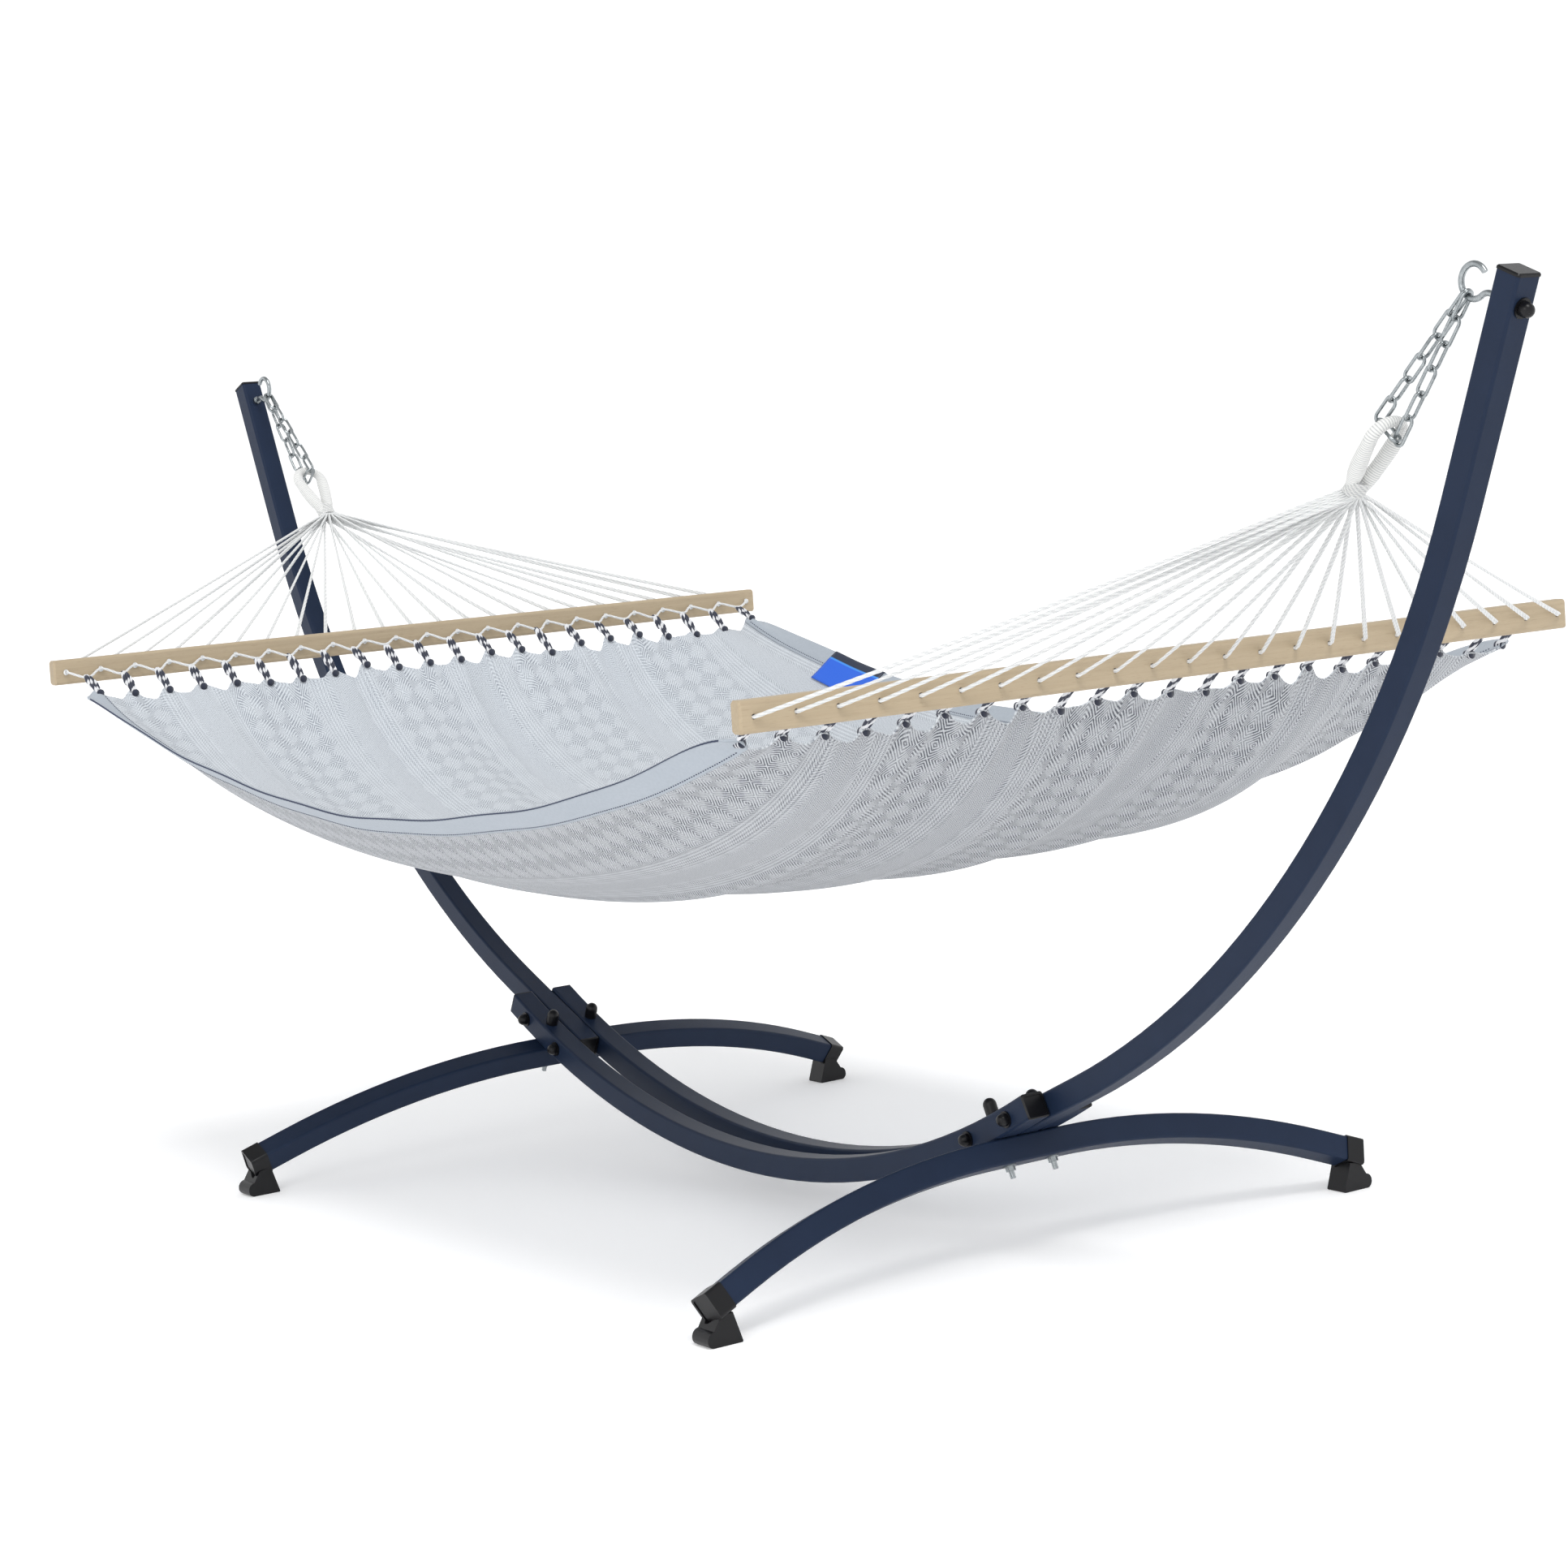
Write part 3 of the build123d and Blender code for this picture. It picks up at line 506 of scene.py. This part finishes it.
def bed_point(u, v):
    """u: along, -1..1 (flat); v: across, -1..1. Gives the cloth's middle surface."""
    x = u * BED_X
    y = v * BED_Y
    iy = BED_Y - HEM_Y
    q = np.clip(np.abs(y) / iy, 0, 1)
    t = 1 - np.abs(u) ** 6
    z = edge_z(x) - HEM_Z - (0.002 + BELLY * t) * (1 - q**4)
    up = np.clip((np.abs(y) - iy) / HEM_Y, 0, 1)
    z = z + HEM_Z * up * (1 - 0.55 * np.abs(u) ** 16)
    # long soft folds
    for yc, a, w, dd in zip(fold_y, fold_a, fold_w, fold_d):
        yy = y - yc - dd * u * np.abs(u)
        amp = a * (0.35 + 0.65 * np.abs(u) ** 1.2) * (1 - np.abs(u) ** 14)
        z = z - amp * np.exp(-((yy / w) ** 2)) + 0.45 * amp * np.exp(-(((yy - 1.9 * w) / w) ** 2))
    # puckers between the loops at each end
    for e, s in ((0, 1.0), (1, -1.0)):
        dist = (1 - s * u) * BED_X
        idx = np.clip(((y + 0.7632) / PITCH).astype(int), 0, 47)
        ph = (y - LOOPS[0]) / PITCH
        near = np.exp(-dist / (0.055 * np.interp(ph, np.arange(48) - 12, puck_l[e])))
        amp = 0.0085 * np.interp(ph, np.arange(48) - 12, puck_a[e])
        ridge = np.cos(2 * np.pi * ph)
        z = z + near * amp * (ridge * 0.9 + 0.25 * np.cos(4 * np.pi * ph + 0.7))
        far = np.exp(-dist / 0.26) - near * 0.6
        z = z + far * 0.008 * np.cos(np.pi * ph + 2.1 * s + 1.3 * np.sin(ph * 1.7))
        x = x - s * np.exp(-dist / 0.035) * (0.0052 * np.interp(ph, np.arange(48) - 12, puck_a[1 - e]) * (1 - ridge))
    # the side edges wave a little
    ed = np.clip((np.abs(v) - 0.86) / 0.14, 0, 1)
    z = z + ed * 0.0018 * np.sin(x * 9.0 + np.sign(v) * 1.1) + ed * 0.0012 * np.sin(x * 23.0)
    return np.stack([x, y, z], -1)


def cloth_grid(name, u, v, mats, thick, under=None):
    Ug, Vg = np.meshgrid(u, v, indexing="ij")
    P = bed_point(Ug, Vg)
    n, m = Ug.shape
    # middle surface normals
    du = np.gradient(P, axis=0)
    dv = np.gradient(P, axis=1)
    nn = np.cross(du, dv)
    nn /= np.linalg.norm(nn, axis=-1)[..., None]
    nn *= np.sign(nn[..., 2:3])
    top, bot = P + nn * thick / 2, P - nn * thick / 2
    verts = np.concatenate([top.reshape(-1, 3), bot.reshape(-1, 3)])
    k = n * m
    i = (np.arange(n - 1)[:, None] * m + np.arange(m - 1)[None, :]).reshape(-1)
    ftop = np.stack([i, i + m, i + m + 1, i + 1], -1)
    fbot = ftop[:, ::-1] + k
    rim = np.concatenate([np.arange(m), np.arange(1, n) * m + m - 1, (n - 1) * m + np.arange(m - 2, -1, -1), np.arange(n - 2, 0, -1) * m])
    rim2 = np.roll(rim, -1)
    frim = np.stack([rim, rim2, rim2 + k, rim + k], -1)
    faces = np.concatenate([ftop, fbot, frim])
    mi = np.concatenate([np.zeros(len(ftop)), np.ones(len(fbot)) * (len(mats) - 1), np.zeros(len(frim))]).astype(int)
    at = np.stack([Vg * BED_Y, Ug * BED_X * 1.03, 0 * Ug], -1).reshape(-1, 3)
    o = mesh(name, verts, faces.tolist(), mats, "cloth", np.concatenate([at, at]), "FLOAT_VECTOR", mat_index=mi)
    a = np.linalg.norm(np.cross(du[:-1, :-1], dv[:-1, :-1]), axis=-1).sum()
    return o, P, nn, a


def dense(n, k=1.6):
    t = np.linspace(-1, 1, n)
    return np.sign(t) * (1 - (1 - np.abs(t)) ** k)


VH = 1 - HEM_Y / BED_Y
u_all = dense(300, 1.5)
bed, bedP, bedN, bed_area = cloth_grid("fabric_bed_cloth", u_all, np.linspace(-VH - 0.003, VH + 0.003, 361), [jac_top, jac_under], 0.0026)
hems = {}
for nm, s in (("front", -1), ("rear", 1)):
    vs = np.linspace(VH, 1.0, 15) * s
    if s < 0:
        vs = vs[::-1]
    h, hp, hn, ha = cloth_grid(f"hem_{nm}_cloth", dense(240, 1.3), vs, [hem_mat], 0.0046)
    bed_area += ha
    hems[nm] = h

# stitches: an edge row and an inner row on each hem, top and under
for nm, s in (("front", -1), ("rear", 1)):
    sp = Soup()
    uu = np.linspace(-0.985, 0.985, 2 * 1560)
    for vv, rr, offs in ((0.9985, 0.0017, (0.0,)), (VH + 0.006, 0.0009, (0.0026, -0.0026))):
        for off in offs:
            P = bed_point(uu, np.full_like(uu, vv * s))
            Pn = bed_point(uu, np.full_like(uu, (vv - 0.01) * s))
            du = np.gradient(P, axis=0)
            nn = np.cross(du, (P - Pn) * s)
            nn /= np.linalg.norm(nn, axis=1)[:, None]
            nn *= np.sign(nn[:, 2:3])
            P = P + nn * off
            if off == 0.0:
                P[:, 1] += 0.0008 * s
                sp.tube(P, rr, seg=6, lobes=2, depth=0.35, pitch=0.009, step=0.003)
            else:
                i = 0
                while i < len(P) - 6:
                    sp.tube(P[i : i + 6], lambda t: rr * np.sqrt(np.clip(1 - (2 * t - 1) ** 4, 0.05, 1)), seg=5, lobes=0, step=0.0012)
                    i += 9
    st = sp.build(f"hem_{nm}_stitches", stitch_mat)
    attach(st, "hammock")
    hems[nm + "_st"] = st

# ---------------------------------------------------------------- label, folded over the rear hem
lu = np.linspace(-0.742, -0.592, 26)
prof = []
lab_v, lab_f, lab_a = [], [], []
rows = np.linspace(0.912, 0.9995, 16)
for r_i, vv in enumerate(rows):
    P = bed_point(lu, np.full_like(lu, vv))
    P2 = bed_point(lu, np.full_like(lu, vv - 0.01))
    nn = np.cross(np.gradient(P, axis=0), P - P2)
    nn /= np.linalg.norm(nn, axis=1)[:, None]
    nn *= np.sign(nn[:, 2:3])
    t = r_i / (len(rows) - 1)
    lift = 0.0042 + 0.0006 * np.sin(t * math.pi * 1.3) + 0.0005 * np.sin(lu * 42 + t * 2)
    prof.append(P + nn * lift[:, None])
last = prof[-1]
for kk in range(1, 9):  # round the edge
    ang = kk / 8 * math.pi
    prof.append(last + np.stack([0 * lu, 0.0045 * math.sin(ang) + 0 * lu, -0.0045 * (1 - math.cos(ang)) + 0 * lu], -1))
prof = np.array(prof)
nr, nc = prof.shape[:2]
dr, dc = np.gradient(prof, axis=0), np.gradient(prof, axis=1)
nn = np.cross(dr, dc)
nn /= np.linalg.norm(nn, axis=-1)[..., None]
th = 0.0006
V2 = np.concatenate([(prof + nn * th).reshape(-1, 3), (prof - nn * th).reshape(-1, 3)])
i = (np.arange(nr - 1)[:, None] * nc + np.arange(nc - 1)[None, :]).reshape(-1)
f1 = np.stack([i, i + 1, i + nc + 1, i + nc], -1)
rim = np.concatenate([np.arange(nc), np.arange(1, nr) * nc + nc - 1, (nr - 1) * nc + np.arange(nc - 2, -1, -1), np.arange(nr - 2, 0, -1) * nc])
fr = np.stack([rim, np.roll(rim, -1), np.roll(rim, -1) + nr * nc, rim + nr * nc], -1)[:, ::-1]
at = np.stack([np.repeat(np.linspace(0, 1, nr), nc), np.tile(np.linspace(0, 1, nc), nr), np.zeros(nr * nc)], -1)
label = mesh("label_cloth", V2, np.concatenate([f1, f1[:, ::-1] + nr * nc, fr]).tolist(), [label_mat], "cloth", np.concatenate([at, at]), "FLOAT_VECTOR")

for o, node, sl in ((bed, "fabric_bed", "jacquard"), (hems["front"], "hem_front", "hem_cloth"), (hems["rear"], "hem_rear", "hem_cloth"), (label, "label", "label_cloth")):
    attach(o, "hammock")
    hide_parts(node)
print("cloth area", bed_area)

# ---------------------------------------------------------------- loops and lacing at each end
LACE_X = XI - 0.0215          # where the lacing meets the loops
for nm, s in (("right", 1), ("left", -1)):
    sp = Soup()
    for k_, y in enumerate(LOOPS):
        e = bed_point(np.array([0.9965 * s]), np.array([y / BED_Y]))[0]
        e = np.array([abs(e[0]), y, e[2]])
        tip = np.array([LACE_X + 0.003, y + rng.uniform(-0.003, 0.003), BZ - 0.0085])
        root = e + np.array([-0.006, 0, -0.001])
        for q, w in ((1, 0.0048), (0, 0.0), (-1, 0.0048)):
            mid = (root + tip) / 2 + np.array([0, q * w * 1.15, 0.0015 * q])
            pts = [root + np.array([0, q * 0.003, 0]), root * 0.6 + tip * 0.4 + np.array([0, q * w, 0.001]), mid, root * 0.15 + tip * 0.85 + np.array([0, q * 0.0045, 0.0]), tip + np.array([0.002, q * 0.0012, 0.0])]
            P = side(smooth_path(pts, 10), s)
            sp.tube(P, 0.0031, seg=10, lobes=2, depth=0.22, pitch=0.0125, phase=rng.uniform(0, 6), step=0.0014, shade=lambda A, S: 0.5 + 0.5 * np.cos(A / 2 + 0 * S[:, None]) )
        # whipped root on the cloth's edge
        sp.tube(side(np.array([root + [-0.004, 0, 0], root + [0.009, 0, 0.0005]]), s), 0.0062, seg=12, lobes=0, step=0.0015, shade=lambda A, S: 0.5 + 0.5 * np.sign(np.sin(S[:, None] * 2 * np.pi / 0.006)) + 0 * A)
    lo = sp.build(f"lacing_loops_{nm}_twist", loop_mat)
    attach(lo, "hammock"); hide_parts(f"lacing_loops_{nm}")

    sp = Soup()
    pts = []
    for i_, y in enumerate(HOLES):
        pts.append((XI - 0.0035 + rng.uniform(-0.0006, 0.0006), y, BZ + 0.0005))
        if i_ < 22:
            pts.append((LACE_X, y + PITCH / 2 + rng.uniform(-0.003, 0.003), BZ - 0.009 + rng.uniform(-0.003, 0.001)))
    sp.tube(side(smooth_path(pts, 12), s), 0.0022, seg=9, lobes=3, depth=0.18, pitch=0.011, step=0.0018)
    for y in HOLES:   # a knot at each hole mouth
        c0 = np.array([XI - 0.0022, y, BZ])
        t = np.linspace(0, 2 * np.pi, 22)
        ring = c0 + np.stack([-0.0008 * np.cos(2 * t), 0.0033 * np.cos(t), 0.0033 * np.sin(t)], -1)
        sp.tube(side(ring, s), 0.0017, seg=8, lobes=0, step=0.0018)
    la = sp.build(f"lacing_{nm}_twist", cord_white)
    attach(la, "hammock"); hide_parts(f"lacing_cord_{nm}")

    # ------------------------------------------------------------ clew strings, two at each hole
    sp = Soup()
    slots = []
    for i_ in range(46):
        col, row = i_ // 6, i_ % 6
        slots.append(((col - 3.4) * 0.0034, (row - 2.5) * 0.0034))
    for i_, y in enumerate(HOLES):
        for q in (0, 1):
            cy, ce = slots[2 * i_ + q]
            n0 = NECK - D * 0.010 + Y * cy * 0.7 + E_ * ce * 0.7
            n1 = NECK + D * 0.012 + Y * cy + E_ * ce
            h0 = np.array([XO + 0.004, y + (q - 0.5) * 0.0036, BZ + (0.0012 if q else -0.0006)])
            h1 = np.array([XO - 0.006, y + (q - 0.5) * 0.0022, BZ])
            h2 = np.array([XI - 0.002, y + (q - 0.5) * 0.0022, BZ])
            run = h0 - n1
            L = np.linalg.norm(run)
            t = np.linspace(0, 1, 14)[:, None]
            sag = np.array([0, 0, -1.0]) * 0.0035 * (4 * t * (1 - t)) * (L / 0.6) * rng.uniform(0.2, 1.0)
            lineP = n1 + run * t + sag
            P = np.vstack([smooth_path(np.vstack([n0, lineP]), 6), smooth_path(np.array([h0, h1 * 0.5 + h0 * 0.5 + [0.0, 0, 0], h1, h2]), 5)[1:]])
            sp.tube(side(P, s), lambda t: 0.0021 - 0.0005 * np.clip((t - 0.96) / 0.03, 0, 1) - 0.0004 * np.clip((0.05 - t) / 0.05, 0, 1), seg=9, lobes=3, depth=0.2, pitch=0.013, phase=rng.uniform(0, 6), step=0.0021)
    cs = sp.build(f"clew_strings_{nm}_twist", cord_white)
    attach(cs, "hammock"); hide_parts(f"clew_strings_{nm}")

    # ------------------------------------------------------------ eye loop: rope under a tight cord wrap
    sp = Soup()
    ang = np.linspace(-np.radians(14.4), np.pi + np.radians(14.4), 60)
    arc = EYE_C + 0.024 * (np.cos(ang)[:, None] * Y - np.sin(ang)[:, None] * D)
    end_r = NECK + Y * 0.0052 + E_ * 0.0035 + D * 0.004
    end_l = NECK - Y * 0.0052 - E_ * 0.0035 + D * 0.004
    t = np.linspace(0, 1, 26)[:, None]
    lim_r = arc[0] + (end_r - arc[0]) * (1 - t)
    lim_l = arc[-1] + (end_l - arc[-1]) * t
    bow = np.sin(np.pi * t)
    lim_r = lim_r + Y * 0.0022 * bow
    lim_l = lim_l - Y * 0.0022 * bow
    P = np.vstack([lim_r[:-1], arc, lim_l[1:]])

    def rope_r(q):
        return 0.0103 + 0.0003 * np.sin(q * 9.0) - 0.0030 * np.exp(-((q - 0.5) / 0.15) ** 2) + 0.0004 * np.sin(q * 23 + 1) - 0.0022 * np.clip((0.10 - np.minimum(q, 1 - q)) / 0.10, 0, 1)

    P_, s_ = resample(P, 0.00055)
    T_, U_, V_ = frames(P_)
    seg = 36
    an = np.arange(seg) * 2 * np.pi / seg
    q = s_ / s_[-1]
    wrap = 2 * np.pi * s_ / 0.0031
    A = wrap[:, None] - an[None, :]
    ridge = np.abs(np.sin(A / 2))
    seam = np.exp(-((((an - 1.2 + np.pi) % (2 * np.pi)) - np.pi) / 0.22) ** 2)[None, :]
    seam_r = 0.0011 * seam * (0.55 + 0.45 * np.cos(2 * np.pi * s_ / 0.0062)[:, None])
    rr = rope_r(q)[:, None] - 0.00062 * (1 - ridge) ** 1.5 + seam_r
    X = P_[:, None, :] + rr[..., None] * (np.cos(an)[None, :, None] * U_[:, None, :] + np.sin(an)[None, :, None] * V_[:, None, :])
    n_, m_ = X.shape[:2]
    # painted shade: the attribute is highest in the grooves between the wrap turns, where the rope_wrap material
    # darkens
    sp.v.append(side(X.reshape(-1, 3), s)); sp.a.append(((1 - ridge) ** 1.5 * 0.9).reshape(-1))
    i = np.arange(n_ - 1)[:, None] * m_ + np.arange(m_)[None, :]
    j = np.arange(n_ - 1)[:, None] * m_ + (np.arange(m_)[None, :] + 1) % m_
    sp.f.extend(np.stack([i, j, j + m_, i + m_], -1).reshape(-1, 4).tolist())
    sp.f.append(list(range(m_))[::-1]); sp.f.append([(n_ - 1) * m_ + t_ for t_ in range(m_)])
    sp.n = n_ * m_
    # neck wrap: turns of cord round both limbs
    turns = 7
    tt = np.linspace(0, turns * 2 * np.pi, turns * 40)
    cen = NECK - D * 0.011 + D * (tt / (2 * np.pi) * 0.0031)[:, None]
    ell = cen + (0.0148 * np.cos(tt))[:, None] * Y + (0.0122 * np.sin(tt))[:, None] * E_
    sp.tube(side(ell, s), 0.0018, seg=8, lobes=3, depth=0.15, pitch=0.008, step=0.0018)
    ey = sp.build(f"eye_loop_{nm}_wrap", rope_wrap)
    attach(ey, "hammock"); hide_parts(f"eye_loop_{nm}")
